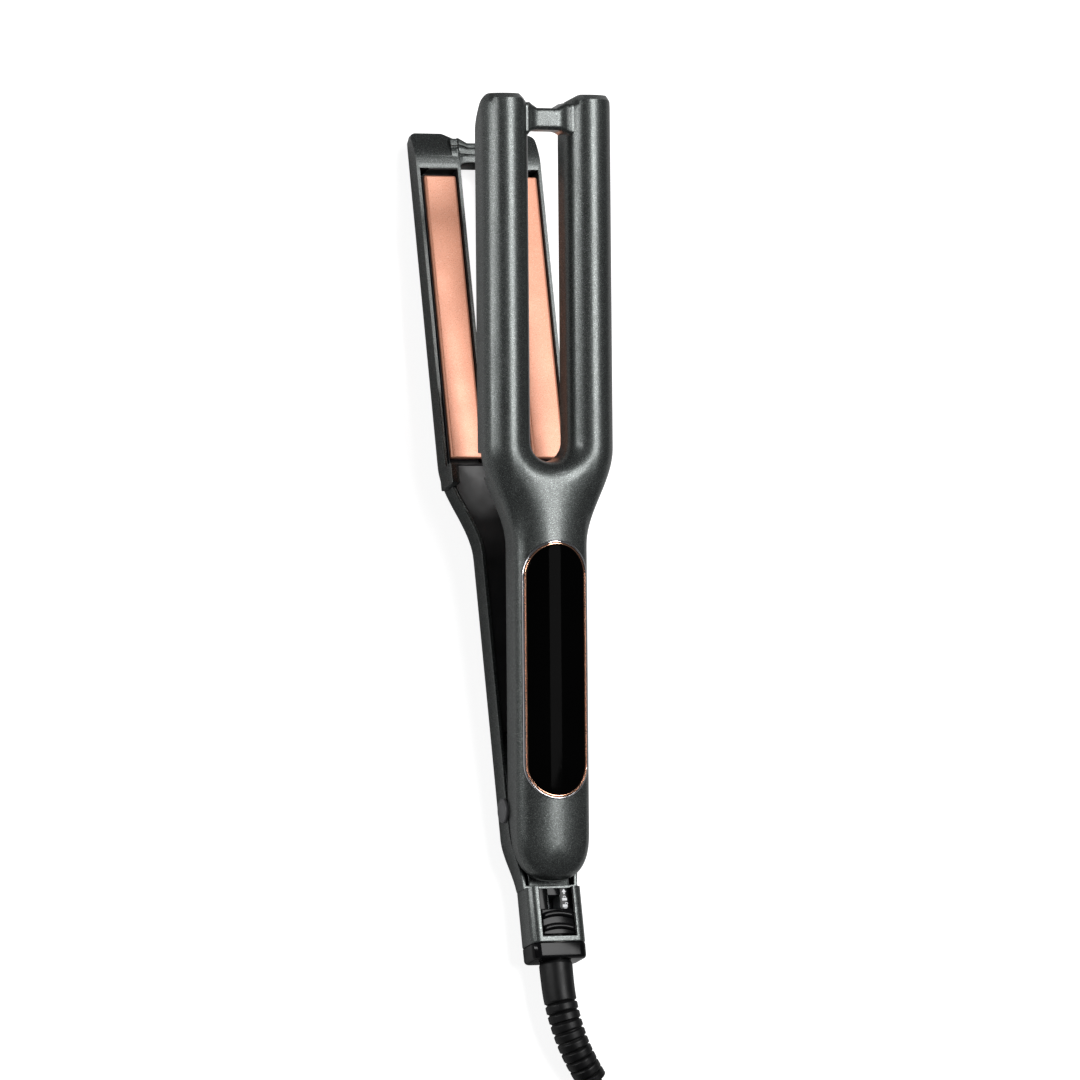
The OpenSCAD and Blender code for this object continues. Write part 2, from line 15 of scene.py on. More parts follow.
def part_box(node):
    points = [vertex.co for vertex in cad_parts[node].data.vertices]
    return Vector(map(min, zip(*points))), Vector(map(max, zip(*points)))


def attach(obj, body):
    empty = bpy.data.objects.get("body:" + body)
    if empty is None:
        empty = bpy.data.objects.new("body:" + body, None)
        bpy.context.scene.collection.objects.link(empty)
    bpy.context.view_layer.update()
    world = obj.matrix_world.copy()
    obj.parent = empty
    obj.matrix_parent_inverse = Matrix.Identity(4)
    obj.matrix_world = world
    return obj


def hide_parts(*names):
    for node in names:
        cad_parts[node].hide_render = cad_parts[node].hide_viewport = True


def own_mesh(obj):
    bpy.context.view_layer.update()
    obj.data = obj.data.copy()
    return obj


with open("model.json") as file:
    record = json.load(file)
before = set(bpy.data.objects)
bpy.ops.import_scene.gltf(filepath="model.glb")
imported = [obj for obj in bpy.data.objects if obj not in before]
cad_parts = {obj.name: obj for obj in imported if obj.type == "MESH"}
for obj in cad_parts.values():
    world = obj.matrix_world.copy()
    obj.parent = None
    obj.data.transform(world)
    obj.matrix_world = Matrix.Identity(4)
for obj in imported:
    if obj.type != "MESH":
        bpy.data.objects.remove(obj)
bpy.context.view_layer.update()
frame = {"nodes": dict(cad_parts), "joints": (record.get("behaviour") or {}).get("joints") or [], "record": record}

MM = 0.001
joints = {j["name"]: j for j in frame["joints"]}
HINGE = Vector(joints["arm_hinge"]["pos_m"])
OPEN_ANGLE = math.radians(-joints["arm_hinge"]["range_deg"][0])
ARM_DEPTH = 15
PARTING_Z = ARM_DEPTH
HINGE_RISE = PARTING_Z - HINGE.z / MM

LOWER = Matrix.Translation((0, HINGE.y, PARTING_Z * MM)) @ Matrix.Rotation(math.pi, 4, "Y")
UPPER = (Matrix.Translation(HINGE) @ Matrix.Rotation(OPEN_ANGLE, 4, "X")
         @ Matrix.Translation((0, 0, HINGE_RISE * MM)))
AT_HINGE = Matrix.Translation(HINGE)
ROW = Matrix.Identity(4)


# ---- camera, lights and floor ----

def make_camera():
    """A long lens above the handle's left side, fitted to the photographed outline."""
    data = bpy.data.cameras.new("camera")
    data.sensor_width = 36
    data.lens = 209.9
    data.clip_start = 0.01
    camera = bpy.data.objects.new("camera", data)
    bpy.context.scene.collection.objects.link(camera)
    place = Vector((-0.7640, -0.5125, 1.9494))
    aim = Vector((0.0006, -0.0062, 0.0346))
    up = Vector((0, math.cos(OPEN_ANGLE), math.sin(OPEN_ANGLE)))
    roll = -0.00875     # radians
    back = (place - aim).normalized()
    right = Matrix.Rotation(roll, 3, back) @ up.cross(back).normalized()
    turn = Matrix((right, back.cross(right), back)).transposed()
    camera.matrix_world = Matrix.Translation(place) @ turn.to_4x4()
    bpy.context.scene.camera = camera


def softbox(name, place, aim, width, height, watts):
    data = bpy.data.lights.new(name, "AREA")
    data.shape = "RECTANGLE"
    data.size = width
    data.size_y = height
    data.energy = watts
    light = bpy.data.objects.new(name, data)
    bpy.context.scene.collection.objects.link(light)
    light.location = place
    light.rotation_euler = (Vector(aim) - Vector(place)).to_track_quat("-Z", "Y").to_euler()


def make_studio():
    floor_mesh = bpy.data.meshes.new("floor")
    half = 6
    corners = [(-half, -half, 0), (half, -half, 0), (half, half, 0), (-half, half, 0)]
    floor_mesh.from_pydata(corners, [], [(0, 1, 2, 3)])
    floor = bpy.data.objects.new("floor", floor_mesh)
    bpy.context.scene.collection.objects.link(floor)
    paper = bpy.data.materials.new("floor_paper")
    paper.use_nodes = True
    shader = paper.node_tree.nodes["Principled BSDF"]
    shader.inputs["Base Color"].default_value = (0.5, 0.5, 0.5, 1)
    shader.inputs["Roughness"].default_value = 0.9
    shader.inputs["Emission Color"].default_value = (1, 1, 1, 1)
    # The paper glows for the camera alone, so that it stays pale and throws little light back
    seen = paper.node_tree.nodes.new("ShaderNodeLightPath").outputs["Is Camera Ray"]
    glow = paper.node_tree.nodes.new("ShaderNodeMath")
    glow.operation = "MULTIPLY"
    glow.inputs[1].default_value = 0.85
    paper.node_tree.links.new(seen, glow.inputs[0])
    paper.node_tree.links.new(glow.outputs[0], shader.inputs["Emission Strength"])
    floor_mesh.materials.append(paper)

    world = bpy.data.worlds.new("studio")
    world.use_nodes = True
    world.node_tree.nodes["Background"].inputs["Color"].default_value = (0.95, 0.97, 1, 1)
    world.node_tree.nodes["Background"].inputs["Strength"].default_value = 0.1
    bpy.context.scene.world = world
    bpy.context.scene.view_settings.view_transform = "Standard"

    middle = (0, 0, 0.03)
    softbox("key_light", (0.4, 0.05, 1.5), middle, 1.1, 0.55, 19)
    softbox("left_strip", (-1.3, 0.1, 0.3), middle, 0.1, 1.7, 9)
    softbox("top_strip", (0.35, 0.9, 1.3), middle, 0.35, 0.3, 2)


make_camera()
make_studio()


# ---- materials ----

def srgb(*levels):
    """A colour given in screen levels from 0 to 255."""
    def linear(c):
        return c / 12.92 if c <= 0.04045 else ((c + 0.055) / 1.055) ** 2.4
    return tuple(linear(level / 255) for level in levels)


class Finish:
    """A principled material whose colour, roughness and bump follow object-space patterns."""

    def __init__(self, name, colour, roughness, metallic=0.0,
                 coat=0.0, coat_roughness=0.05, ior=1.5):
        self.material = bpy.data.materials.new(name)
        self.material.use_nodes = True
        self.tree = self.material.node_tree
        self.shader = self.tree.nodes["Principled BSDF"]
        self.colour = colour
        self.roughness = roughness
        self.shader.inputs["Base Color"].default_value = (*colour, 1)
        self.shader.inputs["Roughness"].default_value = roughness
        self.shader.inputs["Metallic"].default_value = metallic
        self.shader.inputs["Coat Weight"].default_value = coat
        self.shader.inputs["Coat Roughness"].default_value = coat_roughness
        self.shader.inputs["IOR"].default_value = ior
        self.place = self.tree.nodes.new("ShaderNodeTexCoord").outputs["Object"]
        self.colour_out = None
        self.bump_out = None

    def link(self, source, target):
        self.tree.links.new(source, target)

    def noise(self, scale, detail=2.0, stretch=(1, 1, 1)):
        mapping = self.tree.nodes.new("ShaderNodeMapping")
        mapping.inputs["Scale"].default_value = stretch
        self.link(self.place, mapping.inputs["Vector"])
        noise = self.tree.nodes.new("ShaderNodeTexNoise")
        noise.inputs["Scale"].default_value = scale
        noise.inputs["Detail"].default_value = detail
        self.link(mapping.outputs["Vector"], noise.inputs["Vector"])
        return noise.outputs["Fac"]

    def ramp(self, value, low, high):
        ramp = self.tree.nodes.new("ShaderNodeMapRange")
        ramp.inputs["From Min"].default_value = low
        ramp.inputs["From Max"].default_value = high
        self.link(value, ramp.inputs["Value"])
        return ramp.outputs["Result"]

    def mix_in(self, colour, amount):
        """Lays a colour over what is there, as strong as amount says at each point."""
        mix = self.tree.nodes.new("ShaderNodeMix")
        mix.data_type = "RGBA"
        if self.colour_out is None:
            mix.inputs[6].default_value = (*self.colour, 1)
        else:
            self.link(self.colour_out, mix.inputs[6])
        mix.inputs[7].default_value = (*colour, 1)
        self.link(amount, mix.inputs[0])
        self.colour_out = mix.outputs[2]
        self.link(self.colour_out, self.shader.inputs["Base Color"])
        return self

    def mottle(self, scale, spread):
        """Slow, slight changes of shade."""
        pale = tuple(min(1, c * (1 + spread)) for c in self.colour)
        return self.mix_in(pale, self.ramp(self.noise(scale, 3), 0.35, 0.7))

    def flakes(self, scale, colour, share):
        """Fine specks, as in metallic paint; share is how much of the surface they take."""
        return self.mix_in(colour, self.ramp(self.noise(scale, 1), 1 - share, 1 - share + 0.12))

    def wear(self, scale, spread):
        """Roughness that varies by spread either way."""
        result = self.tree.nodes.new("ShaderNodeMapRange")
        result.inputs["From Min"].default_value = 0.3
        result.inputs["From Max"].default_value = 0.7
        result.inputs["To Min"].default_value = max(0.02, self.roughness - spread)
        result.inputs["To Max"].default_value = self.roughness + spread
        self.link(self.noise(scale, 4), result.inputs["Value"])
        self.link(result.outputs["Result"], self.shader.inputs["Roughness"])
        return self

    def bump(self, scale, depth_mm, detail=2.0, stretch=(1, 1, 1)):
        bump = self.tree.nodes.new("ShaderNodeBump")
        bump.inputs["Distance"].default_value = depth_mm * MM
        bump.inputs["Strength"].default_value = 0.6
        self.link(self.noise(scale, detail, stretch), bump.inputs["Height"])
        if self.bump_out is not None:
            self.link(self.bump_out, bump.inputs["Normal"])
        self.bump_out = bump.outputs["Normal"]
        self.link(self.bump_out, self.shader.inputs["Normal"])
        return self


def make_finishes():
    paint = Finish("charcoal_paint", srgb(74, 77, 76), 0.34, 0.8, coat=0.3, coat_roughness=0.18)
    paint.mottle(40, 0.1).flakes(4200, srgb(132, 138, 136), 0.44)
    paint.flakes(3100, srgb(48, 51, 50), 0.44)
    paint.wear(60, 0.04).bump(2600, 0.01)

    black = Finish("black_moulding", srgb(24, 24, 25), 0.42)
    black.mottle(90, 0.4).wear(140, 0.08).bump(1500, 0.02, 4)

    grey = Finish("grey_moulding", srgb(88, 88, 90), 0.4)
    grey.mottle(120, 0.15).wear(180, 0.06).bump(1300, 0.018, 3)

    gloss = Finish("gloss_black", srgb(9, 9, 10), 0.14, ior=1.25)
    gloss.mottle(70, 0.5).wear(100, 0.05).bump(500, 0.004, 3)

    glass = Finish("display_glass", srgb(3, 3, 3), 0.06, ior=1.05)
    glass.mottle(30, 0.5).wear(50, 0.03).bump(25, 0.003)

    chrome = Finish("bezel_chrome", srgb(205, 205, 208), 0.1, 1.0)
    chrome.mottle(200, 0.08).wear(300, 0.04).bump(900, 0.004)

    rose = Finish("rose_gold", srgb(222, 168, 138), 0.16, 1.0)
    rose.mottle(200, 0.1).wear(300, 0.05).bump(900, 0.004)

    plate = Finish("plate_coating", srgb(228, 158, 128), 0.36, 0.3, coat=0.2, coat_roughness=0.25)
    plate.mottle(35, 0.1).flakes(3600, srgb(242, 188, 160), 0.42)
    plate.flakes(2700, srgb(206, 134, 104), 0.42)
    plate.wear(80, 0.05).bump(2000, 0.01)

    ceramic = Finish("heater_ceramic", srgb(232, 226, 212), 0.55)
    ceramic.mottle(150, 0.1).wear(200, 0.1).bump(700, 0.02, 4)

    silicone = Finish("silicone", srgb(150, 48, 40), 0.6)
    silicone.mottle(120, 0.3).wear(200, 0.1).bump(900, 0.02)

    wire = Finish("wire_sleeve", srgb(214, 210, 200), 0.55)
    wire.mottle(400, 0.15).wear(300, 0.1).bump(2500, 0.03, 2, (1, 1, 0.2))

    nylon = Finish("nylon", srgb(222, 220, 212), 0.45)
    nylon.mottle(200, 0.1).wear(300, 0.08).bump(1200, 0.01)

    board = Finish("circuit_board", srgb(22, 84, 48), 0.35, coat=0.3)
    board.flakes(700, srgb(190, 160, 80), 0.34).mottle(150, 0.3).wear(200, 0.08).bump(700, 0.02)

    screw = Finish("screw_steel", srgb(120, 120, 124), 0.3, 1.0)
    screw.mottle(400, 0.2).wear(500, 0.1).bump(1500, 0.01, 2, (1, 6, 1))

    spring = Finish("spring_steel", srgb(165, 165, 170), 0.24, 1.0)
    spring.mottle(400, 0.2).wear(500, 0.08).bump(1800, 0.01)

    brass = Finish("blade_brass", srgb(214, 196, 150), 0.2, 1.0)
    brass.mottle(120, 0.15).wear(260, 0.08).bump(900, 0.008, 2, (1, 8, 8))

    rubber = Finish("cord_rubber", srgb(9, 9, 10), 0.42, ior=1.35)
    rubber.mottle(120, 0.5).wear(160, 0.08).bump(1400, 0.02, 3)

    icon = Finish("icon_paint", srgb(226, 228, 230), 0.5)
    icon.mottle(500, 0.05).wear(400, 0.05).bump(1500, 0.005)

    return {
        "shell_paint": paint, "black_plastic": black, "grey_plastic": grey,
        "gloss_black": gloss, "display_gloss": glass, "bezel_chrome": chrome,
        "accent_metal": rose, "plate_coating": plate, "heater_ceramic": ceramic,
        "silicone": silicone, "wire": wire, "nylon": nylon, "circuit_board": board,
        "screw_steel": screw, "spring_steel": spring, "blade_brass": brass,
        "cord_rubber": rubber, "icon": icon,
    }


FINISHES = {slot: finish.material for slot, finish in make_finishes().items()}


# ---- mesh building ----

class Solid:
    """Points and faces of one piece, made of one or more closed bodies."""

    def __init__(self):
        self.points = []
        self.faces = []

    def add(self, points, faces, place=None):
        start = len(self.points)
        self.points += [tuple(place(p)) if place else tuple(p) for p in points]
        self.faces += [tuple(start + i for i in face) for face in faces]
        return self

    def loft(self, rings, place=None, open_loop=False):
        """A closed body through rings of equal count. An open loop joins the last ring to the
        first."""
        count = len(rings[0])
        points = [p for ring in rings for p in ring]
        spans = len(rings) if open_loop else len(rings) - 1
        faces = []
        for k in range(spans):
            low, high = k * count, (k + 1) % len(rings) * count
            for i in range(count):
                j = (i + 1) % count
                faces.append((low + i, low + j, high + j, high + i))
        if not open_loop:
            faces.append(tuple(range(count - 1, -1, -1)))
            faces.append(tuple((len(rings) - 1) * count + i for i in range(count)))
        return self.add(points, faces, place)

    def block(self, low, high, radius=0.3, segments=3, place=None):
        """A block with all its edges rounded."""
        bm = bmesh.new()
        bmesh.ops.create_cube(bm, size=1)
        for vert in bm.verts:
            for axis in range(3):
                vert.co[axis] = low[axis] + (vert.co[axis] + 0.5) * (high[axis] - low[axis])
        bmesh.ops.bevel(bm, geom=bm.edges[:], offset=radius, segments=segments,
                        affect="EDGES", profile=0.5)
        bm.verts.index_update()
        self.add([v.co[:] for v in bm.verts], [[v.index for v in f.verts] for f in bm.faces], place)
        bm.free()
        return self

    def box(self, low, high):
        """A sharp-edged block, for cutting."""
        (u0, v0, w0), (u1, v1, w1) = low, high
        return self.prism([(u0, v0), (u1, v0), (u1, v1), (u0, v1)], w0, w1)

    def lathe(self, profile, sides=64, place=None):
        """A body turned about the third axis, through (radius, height) points from end to end."""
        rings = [[(r * math.cos(a), r * math.sin(a), h)
                  for a in (2 * math.pi * k / sides for k in range(sides))] for r, h in profile]
        return self.loft(rings, place)

    def prism(self, outline, low, high, place=None):
        return self.loft([[(*p, low) for p in outline], [(*p, high) for p in outline]], place)

    def tube(self, path, radius, sides=16, place=None):
        """A bar swept along a path; radius is a number or a function of the distance along it."""
        return self.loft(list(swept_rings(path, radius, sides)), place)


def swept_rings(path, radius, sides):
    points = [Vector(p) for p in path]
    across = None
    gone = 0
    for i, point in enumerate(points):
        along = (points[min(i + 1, len(points) - 1)] - points[max(i - 1, 0)]).normalized()
        if across is None:
            across = along.orthogonal().normalized()
        across = (across - along * across.dot(along)).normalized()
        other = along.cross(across)
        gone += (point - points[i - 1]).length if i else 0
        r = radius(gone) if callable(radius) else radius
        yield [tuple(point + r * (across * math.cos(a) + other * math.sin(a)))
               for a in (2 * math.pi * k / sides for k in range(sides))]


def bare_object(name, solid, matrix):
    mesh = bpy.data.meshes.new(name)
    mesh.from_pydata([tuple(matrix @ (Vector(p) * MM)) for p in solid.points], [], solid.faces)
    bm = bmesh.new()
    bm.from_mesh(mesh)
    bmesh.ops.remove_doubles(bm, verts=bm.verts, dist=1e-7)
    bmesh.ops.recalc_face_normals(bm, faces=bm.faces)
    bm.to_mesh(mesh)
    bm.free()
    thing = bpy.data.objects.new(name, mesh)
    bpy.context.scene.collection.objects.link(thing)
    return thing


def set_smooth(mesh, angle):
    for polygon in mesh.polygons:
        polygon.use_smooth = True
    mesh.set_sharp_from_angle(angle=math.radians(angle))


def piece(name, solid, matrix, body, slot, replaces=(), cutters=(), joins=(), angle=35):
    """A shown piece of the object. Cutters are taken away from it and joins are fused to it."""
    thing = bare_object(name, solid, matrix)
    tools = [(bare_object(name + "_tool", tool, matrix), "DIFFERENCE") for tool in cutters]
    tools += [(bare_object(name + "_tool", tool, matrix), "UNION") for tool in joins]
    for tool, operation in tools:
        modifier = thing.modifiers.new("cut", "BOOLEAN")
        modifier.solver = "EXACT"
        modifier.operation = operation
        modifier.object = tool
    if tools:
        depsgraph = bpy.context.evaluated_depsgraph_get()
        result = bpy.data.meshes.new_from_object(thing.evaluated_get(depsgraph))
        thing.modifiers.clear()
        thing.data = result
        for tool, operation in tools:
            bpy.data.objects.remove(tool)
    thing.data.materials.clear()
    thing.data.materials.append(FINISHES[slot])
    set_smooth(thing.data, angle)
    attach(thing, body)
    if replaces:
        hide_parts(*replaces)
    return thing


def ease(t):
    return (1 - math.cos(math.pi * min(max(t, 0), 1))) / 2


def mix(a, b, t):
    return a + (b - a) * t


def arc(r, d):
    """Height of a rounded edge of radius r at distance d in from it."""
    d = min(max(d, 0), r)
    return math.sqrt(r * r - (r - d) ** 2)


# ---- mains cord and the pieces on it ----

CORD_D = 6.0
BOOT_PATH = [
    (0, -146.5, 12.5), (0, -152, 12.5), (0.3, -158, 12.3), (1.2, -164, 12),
    (2.7, -170, 11.4), (5, -176, 10.3), (8, -181.5, 8.8), (11, -186, 7.2),
]
LEAD_PATH = [
    (14.5, -191, 5.4), (18, -197, 4), (21, -204, 3.2), (23.2, -212, 3), (24, -221, 3),
]
FOLD_Y = (-230, -290)       # the hank's folds, near and far
HANK_R = (24.0, 18.0)       # half the width of an outer and of an inner turn
LAYER_Z = (3.0, 9.1, 15.2)
TOP_RUN = (21.0, 20.6)      # the last run lies on the hank, at this x and z
TAIL_PATH = [
    (21, -298, 20.5), (20.6, -309, 19), (19.4, -319, 16), (17.5, -328, 12.4),
    (15.2, -337, 9.6), (13, -346, 8.2), (12, -354, 8), (12, -360, 8),
]
PLUG = Matrix.Translation((0.012, -0.360, 0.008)) @ Matrix.Rotation(-math.pi / 2, 4, "Z")


def hank_points():
    """Two turns in each of three layers. Each turn runs away down the right side, back up the left
    side and over the near fold, where it shifts to the place of the next turn."""
    outer, inner = HANK_R
    places = [(outer, LAYER_Z[0]), (inner, LAYER_Z[0]), (inner, LAYER_Z[1]), (outer, LAYER_Z[1]),
              (outer, LAYER_Z[2]), (inner, LAYER_Z[2]), TOP_RUN]
    near, far = FOLD_Y
    runs, arcs = 5, 20
    points = []
    for (r, z), (next_r, next_z) in zip(places, places[1:]):
        points += [(r, mix(near, far, k / runs), z) for k in range(runs)]
        points += [(r * math.cos(a), far - r * math.sin(a), z)
                   for a in (math.pi * k / arcs for k in range(arcs))]
        points += [(-r, mix(far, near, k / runs), z) for k in range(runs)]
        for k in range(arcs):
            a = math.pi * (1 - k / arcs)
            shift = ease(k / arcs)
            turn = mix(r, next_r, shift)
            points.append((turn * math.cos(a), near + turn * math.sin(a), mix(z, next_z, shift)))
    points += [(TOP_RUN[0], mix(near, far, k / runs), TOP_RUN[1]) for k in range(runs + 1)]
    return points


def rounded(path, steps):
    """A smooth run through the points of a path."""
    points = [Vector(p) for p in path]
    result = []
    for i in range(len(points) - 1):
        a, b, c = points[max(i - 1, 0)], points[i], points[i + 1]
        d = points[min(i + 2, len(points) - 1)]
        for k in range(steps):
            t = k / steps
            result.append(0.5 * (2 * b + (c - a) * t + (2 * a - 5 * b + 4 * c - d) * t ** 2
                                 + (3 * b - a - 3 * c + d) * t ** 3))
    return result + [points[-1]]


def make_cord():
    hank = hank_points()
    before = rounded(BOOT_PATH + LEAD_PATH + hank[:2], 4)[:-5]
    after = rounded(hank[-2:] + TAIL_PATH, 4)[4:]
    route = before + [Vector(p) for p in hank[:-1]] + after
    curve = bpy.data.curves.new("mains_cord", "CURVE")
    curve.dimensions = "3D"
    curve.bevel_depth = CORD_D / 2 * MM
    curve.bevel_resolution = 5
    curve.use_fill_caps = True
    spline = curve.splines.new("POLY")
    spline.points.add(len(route) - 1)
    for point, place in zip(spline.points, route):
        point.co = (*(place * MM), 1)
    spline.use_smooth = True
    cord = bpy.data.objects.new("mains_cord", curve)
    bpy.context.scene.collection.objects.link(cord)
    curve.materials.append(FINISHES["cord_rubber"])
    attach(cord, "lower_arm")
    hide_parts("cord_lead", "cord_hank", "cord_tail")
    length = sum((b - a).length for a, b in zip(route, route[1:])) * MM
    return cord, length


def boot_radius(distance):
    """The boot is plain where it leaves the neck, then ringed down to its end."""
    plain, pitch, depth, total = 13.5, 3.2, 0.75, 44.0
    r = mix(5.65, 5.15, min(distance / total, 1))
    if distance < 1.2:
        return r - 0.5 * (1 - distance / 1.2)
    if distance < plain or distance > total - 1:
        return r
    phase = (distance - plain) % pitch / pitch
    groove = max(0, 1 - abs(phase - 0.18) / 0.2)
    return r - depth * ease(groove)


def make_boot():
    path = rounded(BOOT_PATH, 24)
    return piece("cord_boot_ringed", Solid().tube(path, boot_radius, 32), ROW, "lower_arm",
                 "cord_rubber", ["cord_boot"], angle=50)


def plug_section(x, half_y, half_z, power=4.0, count=48):
    ring = []
    for k in range(count):
        a = 2 * math.pi * k / count
        c, s = math.cos(a), math.sin(a)
        ring.append((x, math.copysign(abs(c) ** (2 / power), c) * half_y,
                     math.copysign(abs(s) ** (2 / power), s) * half_z))
    return ring


def make_plug():
    relief = []
    x = 0.0
    while x < 19.6:
        r = mix(4.1, 5.9, x / 20)
        phase = x % 3.2 / 3.2
        r -= 0.8 * ease(max(0, 1 - abs(phase - 0.5) / 0.26))
        relief.append(plug_section(x, r, r, 2))
        x += 0.32
    grip = [(19.6, 5.6, 5.5, 2.2), (20.2, 7.2, 6.2, 2.6), (21.2, 9.2, 6.9, 3), (23, 11.2, 7.5, 3.6),
            (26, 12.6, 7.9, 4), (29, 12.95, 8, 4.5), (33, 12.4, 7.7, 4.5), (37, 11.9, 7.4, 4.5),
            (41, 12.1, 7.5, 4.5), (44.5, 12.8, 7.9, 4.5), (48.2, 13, 8, 4.5),
            (49.3, 12.85, 7.85, 4.5), (49.8, 12.5, 7.5, 4.5), (50, 12.1, 7.1, 4.5)]
    rings = relief + [plug_section(*g) for g in grip]
    body = piece("plug_grip", Solid().loft(rings), PLUG, "lower_arm", "cord_rubber",
                 ["plug_body"], angle=50)
    blades = Solid()
    hole = Solid()
    for y in (-6.35, 6.35):
        blades.block((50, y - 0.75, -3.1), (67, y + 0.75, 3.1), 0.35)
        hole.lathe([(1.6, -2), (1.6, 2)], 24, lambda p, y=y: (62.5 + p[0], y + p[2], p[1]))
    pins = piece("plug_blades_drilled", blades, PLUG, "lower_arm", "blade_brass", ["plug_blades"],
                 cutters=[hole])
    return body, pins


mains_cord, cord_length = make_cord()
cord_boot = make_boot()
plug_parts = make_plug()
tuple(c * MM for c in BOOT_PATH[0])


# ---- the arms' shells ----

PRONG_R = 8.1
SLOT_HALF_W = 6.8
SLOT_V = 124.0
FORK_HALF_W = 23.0
HANDLE_HALF_W = 13.0
TIP_V = 240.45
WAIST_V = 88.5
FORK_V = 122.0
TAIL_V = -7.0
UPPER_TAIL = 16.6
LOWER_TAIL_V = -27.4
LOWER_TAIL_HALF_W = 9.8
CROWN_R = 24.0
WALL = 1.2
ROOF = 1.6
CAVITY_V1 = 226.4
BRIDGE_V0 = 228.5
BRIDGE_TOP_W = 10.1
RIM_HANDLE_W = 0.4
RIM_FORK_W = 1.2
NOTCH_DEPTH = 4.5
LOWER_TIP = 4.5             # how far the inner faces curve back at the tips
UPPER_TIP = 8.0
TIP_CURVE = 12.6            # how far before the tips that curve starts
EDGE_R = 2.5                # round of the tips' edges and corners
PROFILE_STEPS = 26          # quads from the slot to the outer edge
ARC_STEPS = 18              # round the slot's end


def fork_part(v):
    return ease((v - WAIST_V) / (FORK_V - WAIST_V))


def half_width(v):
    return mix(HANDLE_HALF_W, FORK_HALF_W, fork_part(v))


def outline_pairs(inset, end_v, necked):
    """Pairs of points from the tip to the tail, one on the slot or centre line and one on the
    outline."""
    slot = SLOT_HALF_W + inset
    pairs = []
    for i in range(57):
        v = mix(end_v, SLOT_V, 1 - (1 - i / 56) ** 0.8)
        pairs.append(((slot, v), (FORK_HALF_W - inset, v)))
    arc_end_v = 97.0
    for i in range(1, ARC_STEPS + 1):
        a = -math.pi / 2 * i / ARC_STEPS
        v = mix(SLOT_V, arc_end_v, i / ARC_STEPS)
        pairs.append(((slot * math.cos(a), SLOT_V + slot * math.sin(a)),
                      (half_width(v) - inset, v)))
    for i in range(1, 61):
        v = mix(arc_end_v, TAIL_V, i / 60)
        centre_v = mix(SLOT_V - slot, TAIL_V, (i / 60) ** 1.5)
        pairs.append(((0, centre_v), (half_width(v) - inset, v)))
    if necked:
        end = LOWER_TAIL_V + inset
        for i in range(1, 11):
            half = mix(HANDLE_HALF_W, LOWER_TAIL_HALF_W, ease(i / 10)) - inset
            pairs.append(((0, mix(TAIL_V, -13, i / 20)), (half, mix(TAIL_V, end, i / 10))))
        for i in range(1, 7):
            pairs.append(((0, mix(-10, -18, i / 6)),
                          ((LOWER_TAIL_HALF_W - inset) * (1 - i / 6), end)))
    else:
        for i in range(1, 19):
            a = math.pi / 2 * i / 18
            outer = ((HANDLE_HALF_W - inset) * max(math.cos(a), 0) ** 0.8,
                     TAIL_V - (UPPER_TAIL - inset) * math.sin(a) ** 0.8)
            pairs.append(((0, mix(TAIL_V, -11, i / 18)), outer if i < 18 else (0, outer[1])))
    return pairs


def tip_drop(u):
    """How far the tip's edge lies below the very tip: a slope to the bridge and a round corner."""
    slope = NOTCH_DEPTH * min(max((11 - u) / 7.5, 0), 1)
    return slope + EDGE_R - arc(EDGE_R, FORK_HALF_W - u)


